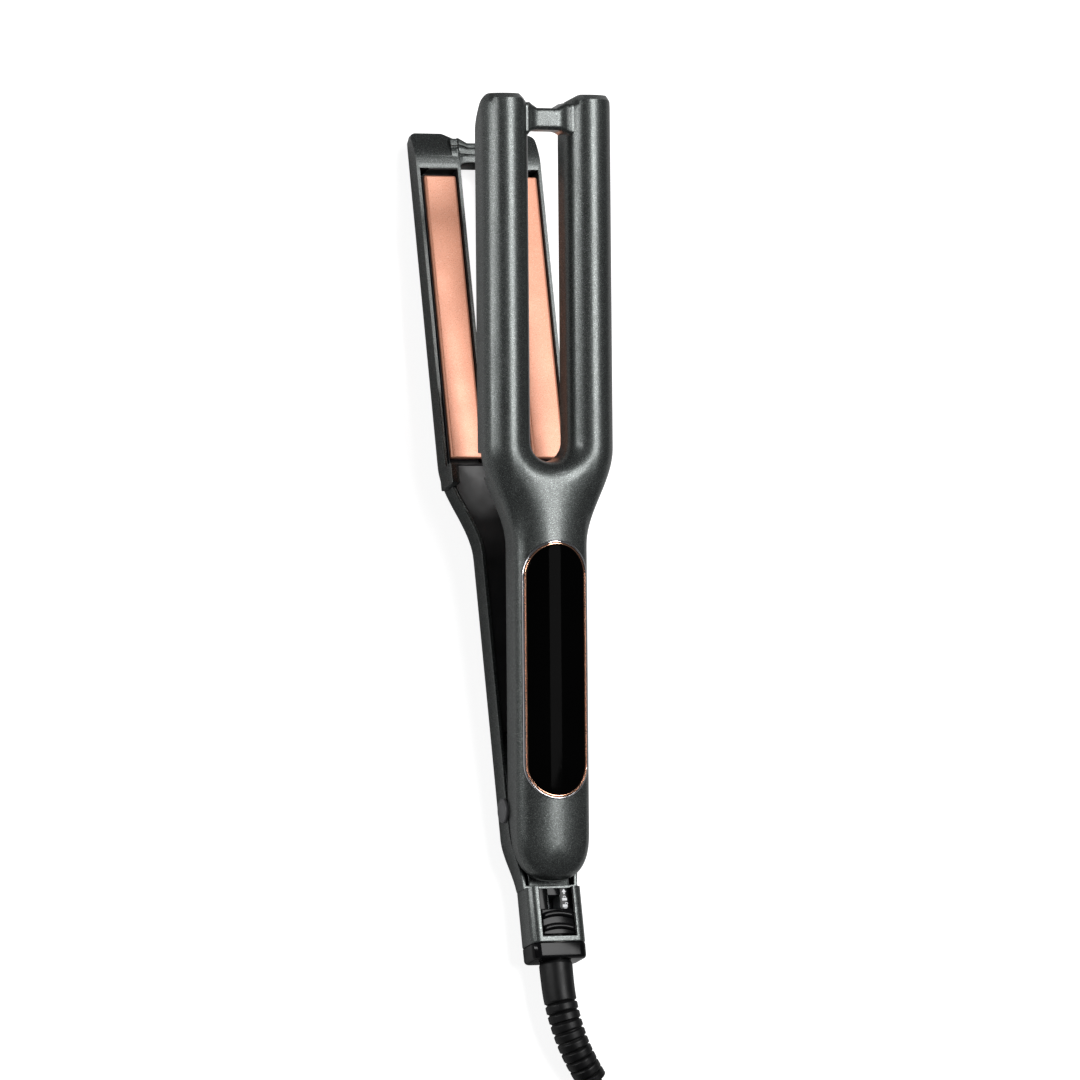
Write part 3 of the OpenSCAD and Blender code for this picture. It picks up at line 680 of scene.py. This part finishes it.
class ArmSkin:
    """The closed, thin-walled skin of one arm, without its bridge."""

    def __init__(self, necked):
        self.necked = necked
        pairs = outline_pairs(0, TIP_V, necked)
        side = [outer for inner, outer in pairs]
        self.side = np.array(side[:-6] if necked else side)
        self.outer = self.grid(0, TIP_V, 0)
        self.inner = self.grid(WALL, CAVITY_V1, ROOF)

    def edge_distance(self, u, v):
        a, b = self.side[:-1], self.side[1:]
        along = b - a
        point = np.array((u, v))
        t = np.clip(((point - a) * along).sum(1) / np.maximum((along ** 2).sum(1), 1e-9), 0, 1)
        return float(np.sqrt(((a + along * t[:, None] - point) ** 2).sum(1).min()))

    def height(self, u, v, tip=True):
        """The outer face's height at a point: the handle's crown, eased into the round prongs."""
        out = self.edge_distance(u, v)
        slot = (u if v >= SLOT_V else math.hypot(u, v - SLOT_V)) - SLOT_HALF_W
        prong = min(ARM_DEPTH, ARM_DEPTH - PRONG_R + 0.02 + arc(PRONG_R, min(out, slot)))
        if tip:
            prong -= EDGE_R - arc(EDGE_R, TIP_V - tip_drop(u) - v)
        sink = min(max((TAIL_V - v) / (TAIL_V - LOWER_TAIL_V), 0), 1) if self.necked else 0
        reach = min(max(u, HANDLE_HALF_W - out), HANDLE_HALF_W)
        crown = (CROWN_R - math.sqrt(CROWN_R ** 2 - reach ** 2)) * (1 - sink)
        corner = 2.9
        handle = ARM_DEPTH - 5.8 * sink ** 1.6 - crown - (corner - arc(corner, out))
        return mix(handle, prong, fork_part(v))

    def grid(self, inset, end_v, drop):
        """Rows of surface points across one half of the arm."""
        rows = []
        for inner, outer in outline_pairs(inset, end_v, self.necked):
            row = []
            for j in range(PROFILE_STEPS + 1):
                t = (1 - math.cos(math.pi * j / PROFILE_STEPS)) / 2
                u, v = mix(inner[0], outer[0], t), mix(inner[1], outer[1], t)
                fade = max(0, 1 - (end_v - v) / 12)
                v -= (tip_drop(u) if inset == 0 else 0) * fade
                row.append((u, v, self.height(u, v, inset == 0) - drop))
            rows.append(row)
        return rows

    def loop_keys(self):
        """Row, column and side of each point of the skin's single edge, in order."""
        last, wide = len(self.outer) - 1, PROFILE_STEPS
        bend = 56 + ARC_STEPS
        keys = [(0, j, 1) for j in range(wide + 1)] + [(i, wide, 1) for i in range(1, last + 1)]
        keys += [(i, wide, -1) for i in range(last - 1, -1, -1)]
        keys += [(0, j, -1) for j in range(wide - 1, -1, -1)]
        keys += [(i, 0, -1) for i in range(1, bend + 1)]
        keys += [(i, 0, 1) for i in range(bend - 1, 0, -1)]
        return keys

    def solid(self):
        result = Solid()
        for rows in (self.outer, self.inner):
            for side in (1, -1):
                points = [(side * u, v, w) for row in rows for u, v, w in row]
                wide = PROFILE_STEPS + 1
                corners = [i * wide + j for i in range(len(rows) - 1) for j in range(wide - 1)]
                faces = [(c, c + 1, c + wide + 1, c + wide) for c in corners]
                result.add(points, faces)
        outer = [self.outer[i][j] for i, j, side in self.loop_keys()]
        inner = [self.inner[i][j] for i, j, side in self.loop_keys()]
        sides = [side for i, j, side in self.loop_keys()]
        edge = 0.35
        # Inward from the outer wall, then from the inner one; None is midway between them
        rim = [(0.03, 0.18), (0.1, 0.06), (0.3, 0.0), (None, 0.0),
               (-0.3, 0.0), (-0.1, 0.06), (-0.03, 0.18)]

        def wall(points, share):
            return [(side * p[0], p[1], mix(self.rim(p[1]) + edge, p[2], share))
                    for p, side in zip(points, sides)]

        loops = [wall(outer, share) for share in (1.0, 0.66, 0.33, 0.0)]
        for inward, lift in rim:
            loop = []
            for o, c, side in zip(outer, inner, sides):
                span = math.hypot(c[0] - o[0], c[1] - o[1])
                t = 0.5 if inward is None else (inward % span) / span
                u, v = mix(o[0], c[0], t), mix(o[1], c[1], t)
                loop.append((side * u, v, self.rim(v) + lift))
            loops.append(loop)
        loops += [wall(inner, share) for share in (0.0, 0.5, 1.0)]
        count = len(outer)
        points = [p for loop in loops for p in loop]
        faces = [(k * count + i, k * count + (i + 1) % count, (k + 1) * count + (i + 1) % count,
                  (k + 1) * count + i) for k in range(len(loops) - 1) for i in range(count)]
        return result.add(points, faces)

    @staticmethod
    def rim(v):
        return mix(RIM_HANDLE_W, RIM_FORK_W, fork_part(v))


def tip_inner(v, depth):
    """The inner face of the tips, which curves back towards the outer face by depth."""
    return RIM_FORK_W + depth * max(0, (v - TIP_V + TIP_CURVE) / TIP_CURVE) ** 1.8


# The bridge's inner face from its near edge (0) to its far one (1), with how deep it is there.
# Its two edges are rounded, and only the grooves fade out towards the prongs.
GROOVE = 0.8
BRIDGE_PROFILE = [
    (0.0, 0.5), (0.03, 0.12), (0.08, 0), (0.3, 0), (0.33, GROOVE), (0.4, GROOVE), (0.43, 0),
    (0.63, 0), (0.66, GROOVE), (0.73, GROOVE), (0.76, 0), (0.92, 0), (0.97, 0.12), (1.0, 0.5),
]


def bridge_solid():
    """The bar between the tips. It flares into the prongs, and its inner face has two grooves,
    which deepen slightly towards the tips."""
    rings = []
    steps, half, corner = 48, 9.45, 1.6
    for k in range(steps + 1):
        u = mix(-half, half, k / steps)
        flare = max(0, abs(u) - 3.2) / 3.6
        hidden = 0.3 * min(1, max(0, abs(u) - 6.75) / 0.3)
        low_v = BRIDGE_V0 - 1.2 * min(flare, 1.2) ** 2.5
        high_v = TIP_V - NOTCH_DEPTH - hidden + min(2, max(0, abs(u) - 3.5) * 0.6)
        top = BRIDGE_TOP_W + min(flare, 1.3) ** 2.5
        groove = 0.7 * (1 - min(flare, 1))
        section = []
        for a, depth in BRIDGE_PROFILE:
            sunk = depth * groove if depth == GROOVE else depth
            v = mix(low_v, high_v, a)
            section.append((v, tip_inner(v, depth) + sunk + hidden))
        for edge_v, start in ((high_v, 0), (low_v + 2 * corner, math.pi / 2)):
            for i in range(9):
                a = start + math.pi / 2 * i / 8
                section.append((edge_v - corner + corner * math.cos(a),
                                top - corner + corner * math.sin(a)))
        rings.append([(u, v, w) for v, w in section])
    return Solid().loft(rings)


def across_prism(outline, half):
    """A cutter that runs across the arm, with its outline given as (v, w) points."""
    return Solid().loft([[(u, v, w) for v, w in outline] for u in (-half, half)])


def tip_cutter(depth):
    beyond, steps = 1.0, 24
    run = TIP_CURVE + beyond
    curve = [TIP_V + beyond - run * k / steps for k in range(steps + 1)]
    outline = [(TIP_V - TIP_CURVE, -2), (TIP_V + beyond, -2)]
    outline += [(v, tip_inner(v, depth) - 0.03) for v in curve]
    return across_prism(outline, 30)


def ear_cutter(u0, v0, v1, w1):
    """Room for the alignment ears, at both edges of the arm."""
    return Solid().box((u0, v0, -2), (30, v1, w1)).box((-30, v0, -2), (-u0, v1, w1))


def stadium(half, v0, v1, arc_steps=24):
    """An outline with round ends, from (half, v0 + half) anticlockwise."""
    ring = []
    for centre, start in ((v1 - half, 0), (v0 + half, math.pi)):
        for k in range(arc_steps + 1):
            a = start + math.pi * k / arc_steps
            ring.append((half * math.cos(a), centre + half * math.sin(a)))
    return ring


WINDOW_HALF_W = 11.65
WINDOW_V = (4.0, 90.8)


def make_shells():
    neck_hole = Solid().box((-7.6, -30, 1.2), (7.6, -20, 8.8))
    piece("lower_arm_shell", ArmSkin(True).solid(), LOWER, "lower_arm", "shell_paint",
          ["lower_shell"], joins=[bridge_solid()],
          cutters=[tip_cutter(LOWER_TIP), ear_cutter(20, 112.5, 119.8, 7.3), neck_hole])
    # Under the open arm, the tail is cut level with the lower arm
    slope = math.tan(OPEN_ANGLE)
    tail_room = across_prism([(4.5, -2), (4.5, 0), (-60, 0.3 + 64.5 * slope), (-60, -2)], 30)
    pocket = Solid().prism(stadium(WINDOW_HALF_W, *WINDOW_V), ARM_DEPTH - 3.7, ARM_DEPTH + 6)
    piece("upper_arm_shell", ArmSkin(False).solid(), UPPER, "upper_arm", "shell_paint",
          ["upper_shell"], joins=[bridge_solid()],
          cutters=[tip_cutter(UPPER_TIP), ear_cutter(19.7, 112, 120.1, 4.3), tail_room, pocket])


make_shells()


# ---- display ----

def crowned_ring(inset, rise, floor=None):
    """A stadium outline laid on the handle's crown, or on a level floor below it."""
    half = WINDOW_HALF_W - inset
    centre = ARM_DEPTH - CROWN_R
    ring = stadium(half, WINDOW_V[0] + inset, WINDOW_V[1] - inset)
    if floor is not None:
        return [(u, v, floor) for u, v in ring]
    return [(u, v, centre + math.sqrt((CROWN_R + rise) ** 2 - u * u)) for u, v in ring]


def make_display():
    low = ARM_DEPTH - 3.6
    for name, node, slot, profile in (
            ("display_chrome_ring", "display_bezel", "bezel_chrome",
             [(0.1, 0), (0.16, 0.2), (0.32, 0.32), (0.5, 0.35), (0.66, 0.3), (0.78, 0.16),
              (0.83, 0)]),
            ("display_rose_ring", "display_accent_ring", "accent_metal",
             [(0.9, -0.05), (1.0, 0.1), (1.18, 0.15), (1.36, 0.1), (1.45, -0.05)])):
        rings = [crowned_ring(profile[0][0], 0, low)]
        rings += [crowned_ring(inset, rise) for inset, rise in profile]
        rings.append(crowned_ring(profile[-1][0], 0, low))
        piece(name, Solid().loft(rings, open_loop=True), UPPER, "upper_arm", slot, [node])

    lens = [crowned_ring(1.52, 0, ARM_DEPTH - 3), crowned_ring(1.52, -0.1)]
    lens += [crowned_ring(inset, rise) for inset, rise in ((1.58, 0.1), (1.75, 0.2), (2.1, 0.24))]
    insets = (3, 4.2, 5.6, 7, 8.4, 9.6, 10.6, 11.3, WINDOW_HALF_W - 0.02)
    lens += [crowned_ring(inset, 0.25) for inset in insets]
    piece("display_window", Solid().loft(lens), UPPER, "upper_arm", "display_gloss",
          ["display_lens"])


make_display()


# ---- hinge ----

def make_hinge():
    caps = Solid()
    for side in (-1, 1):
        def place(p, side=side):
            return (side * (HANDLE_HALF_W + p[2]), p[0], p[1])
        caps.lathe([(4.1, 0), (4.15, 0.15), (4.15, 0.7), (4.05, 0.95), (3.85, 1.1), (3.6, 1.12),
                    (3.45, 0.98), (3.3, 0.98), (3.1, 1.08), (2.2, 1.16), (1.2, 1.19), (0.3, 1.2)],
                   64, place)
    piece("hinge_cap_discs", caps, AT_HINGE, "lower_arm", "grey_plastic", ["hinge_caps"], angle=50)

    low, high = (c.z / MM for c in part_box("opening_spring"))
    wire, radius, turns, per_turn = 0.45, 3.1, 7, 24
    path = []
    for k in range(turns * per_turn + 1):
        t = k / (turns * per_turn)
        a = 2 * math.pi * turns * t
        closed = mix(t, ease(t), 0.5)
        path.append((radius * math.cos(a), radius * math.sin(a),
                     mix(low + wire, high - wire, closed)))
    middle_y = HINGE.y + 31.5 * MM
    coil = piece("opening_coil_spring", Solid().tube(path, wire, 12),
                 Matrix.Translation((0, middle_y, 0)), "lower_arm", "spring_steel",
                 ["opening_spring"])
    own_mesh(coil)


make_hinge()


# ---- neck and lock ----

NECK_HALF_W = 9.7
NECK_HALF_T = 6.7
NECK_R = 3.0


def neck_ring(v, shrink):
    """The neck's rounded section at v, drawn in by shrink all round."""
    half_u, half_z, r = NECK_HALF_W - shrink, NECK_HALF_T - shrink, max(NECK_R - shrink, 0.3)
    ring = []
    for quarter in range(4):
        for k in range(9):
            a = math.pi / 2 * (quarter + k / 8)
            cu = (half_u - r) * (1 if quarter in (0, 3) else -1)
            cz = (half_z - r) * (1 if quarter < 2 else -1)
            ring.append((cu + r * math.cos(a), v, cz + r * math.sin(a)))
    return ring


def make_neck():
    body = Solid().loft([neck_ring(v, shrink) for v, shrink in
                         ((-27.5, 0), (-45.9, 0), (-46.2, 0.06), (-46.4, 0.2))])
    tongue = Solid().block((-7.35, -28.4, -6.1), (7.35, -15, 1.2), 0.4)
    recess = Solid().box((-6.25, -44.6, 4.2), (6.25, -26, 8))
    channel = Solid().box((-3.5, -48, -5.8), (3.5, -14, -3.2))
    post_slot = Solid().box((-2.2, -42, -4), (2.2, -30, 5))
    bore = Solid().lathe([(6, -47.5), (6, -44.7)], 48, lambda p: (p[0], p[2], p[1]))
    piece("neck_sleeve", body, AT_HINGE, "lower_arm", "shell_paint", ["neck_housing"],
          cutters=[recess, channel, post_slot, bore], joins=[tongue])

    # Two side walls, an end wall, and a floor in three parts round the slot of the lock's post
    liner = Solid()
    for low, high, radius in (
            ((-6.15, -44.5, 4.25), (-5.85, -27.6, 6.35), 0.1),
            ((5.85, -44.5, 4.25), (6.15, -27.6, 6.35), 0.1),
            ((-5.83, -44.47, 4.27), (5.83, -44.2, 6.3), 0.1),
            ((-2.25, -30.1, 4.22), (2.25, -27.7, 4.42), 0.08),
            ((-5.95, -44.3, 4.22), (-2.3, -27.7, 4.42), 0.08),
            ((2.3, -44.3, 4.22), (5.95, -27.7, 4.42), 0.08)):
        liner.block(low, high, radius)
    piece("lock_recess_liner", liner, AT_HINGE, "lower_arm", "gloss_black")

    cap = Solid().loft([neck_ring(v, shrink) for v, shrink in
                        ((-46.55, 0.35), (-46.75, 0.12), (-47.1, 0.06), (-50.9, 0.1), (-51.6, 0.4),
                         (-51.9, 0.9), (-52, 1.6))])
    hole = Solid().lathe([(5.0, -53), (5.0, -46)], 48, lambda p: (p[0], p[2], p[1]))
    piece("neck_end_collar", cap, AT_HINGE, "lower_arm", "gloss_black", ["neck_end_cap"],
          cutters=[hole])

    slider = Solid().block((-5.75, -43.95, 4.5), (5.75, -35, 6.2), 0.5)
    ridge_half, bow_depth = 5.4, 0.99
    ridge = [(0, 6.0), (0.35, 6.95), (0.8, 7.35), (1.4, 7.4), (2.0, 7.0), (2.5, 6.0)]
    for v in (-43.2, -38.9):
        rings = []
        for k in range(25):
            u = mix(-ridge_half, ridge_half, k / 24)
            start = v + bow_depth * (1 - (u / ridge_half) ** 2)
            worn = 0.25 if k in (0, 24) else 0
            rings.append([(u, start + along, w - (worn if w > 6 else 0)) for along, w in ridge])
        slider.loft(rings)
    piece("lock_thumb_slider", slider, AT_HINGE, "lock", "gloss_black", ["lock_slider"], angle=45)


def flat_shape(result, outline):
    """A thin mark on the recess's floor, beside the slot that the lock's post runs in."""
    result.prism([(u + 3.7, v) for u, v in outline], 4.41, 4.49)


def make_icons():
    """Generic marks beside the lock: an arrow, a closed padlock, an open one and a pointer."""
    marks = Solid()
    flat_shape(marks, [(0, -28.1), (-0.8, -29.2), (0.8, -29.2)])
    flat_shape(marks, [(-0.25, -29.2), (-0.25, -29.9), (0.25, -29.9), (0.25, -29.2)])
    for v, shift in ((-31.2, 0.0), (-33.4, 0.55)):
        flat_shape(marks, [(-0.85, v - 0.9), (0.85, v - 0.9), (0.85, v), (-0.85, v)])
        turns = [math.pi * k / 10 for k in range(11)]
        bow = [(shift + 0.55 * math.cos(a), v + 0.15 + 0.6 * math.sin(a)) for a in turns]
        bow += [(shift + 0.32 * math.cos(a), v + 0.15 + 0.36 * math.sin(a)) for a in turns[::-1]]
        flat_shape(marks, bow)
    flat_shape(marks, [(0, -35.1), (0.7, -34.5), (-0.7, -34.5)])
    piece("lock_marks", marks, AT_HINGE, "lower_arm", "icon")


make_neck()
make_icons()


# ---- screws ----

SCREW_PROFILE = [
    (1.2, 9), (1.2, 2.4), (2.3, 2.35), (2.3, 1.75), (2.1, 1.45), (1.5, 1.25), (0.3, 1.2),
]


def make_screws():
    """Cross-head screws in place of the plain ones, with their heads in the covers' seats."""
    for node, matrix, body, stations in (
            ("lower_cover_screws", LOWER, "lower_arm", (48, 104)),
            ("upper_cover_screws", UPPER, "upper_arm", (98,))):
        screws = Solid()
        slots = []
        for v in stations:
            screws.lathe(SCREW_PROFILE, 48, lambda p, v=v: (p[0], v + p[1], p[2]))
            for half_u, half_v in ((1.25, 0.3), (0.3, 1.25)):
                slots.append(Solid().box((-half_u, v - half_v, 0.8),
                                         (half_u, v + half_v, 1.9 + 0.05 * half_u)))
        piece(node.replace("cover", "cross_head"), screws, matrix, body, "screw_steel", [node],
              cutters=slots)


make_screws()


# ---- CAD nodes that stay, with rounded edges and their own finishes ----

BEVELS = {      # millimetres; every other node gets the least bevel
    "alignment_ears": 0.6, "lower_handle_cover": 0.2, "upper_handle_cover": 0.2,
    "lower_plate_holder_left": 0.2, "lower_plate_holder_right": 0.2,
    "upper_plate_holder_left": 0.2, "upper_plate_holder_right": 0.2,
    "lower_plate_left": 0.9, "lower_plate_right": 0.9,
    "upper_plate_left": 0.9, "upper_plate_right": 0.9,
    "cord_tie": 0.3, "lock_bar": 0.15, "lock_catch": 0.15, "hinge_yoke": 0.15, "hinge_pin": 0.2,
    "control_board": 0.1, "display_module": 0.15, "display_frame": 0.15,
}
LEAST_BEVEL = 0.06


def finish_cad_nodes():
    slots = {part["node"]: part["material_slot"] for part in frame["record"]["subparts"]}
    for node, thing in frame["nodes"].items():
        if thing.hide_render:
            continue
        thing.data.materials.clear()
        thing.data.materials.append(FINISHES[slots[node]])
        weld = thing.modifiers.new("weld", "WELD")
        weld.merge_threshold = 1e-6
        for polygon in thing.data.polygons:
            polygon.use_smooth = True
        bevel = thing.modifiers.new("rounded_edges", "BEVEL")
        bevel.width = BEVELS.get(node, LEAST_BEVEL) * MM
        bevel.segments = 2
        bevel.limit_method = "ANGLE"
        bevel.angle_limit = math.radians(38)
        weighted = thing.modifiers.new("weighted_normals", "WEIGHTED_NORMAL")
        weighted.keep_sharp = False
        weighted.weight = 80


finish_cad_nodes()
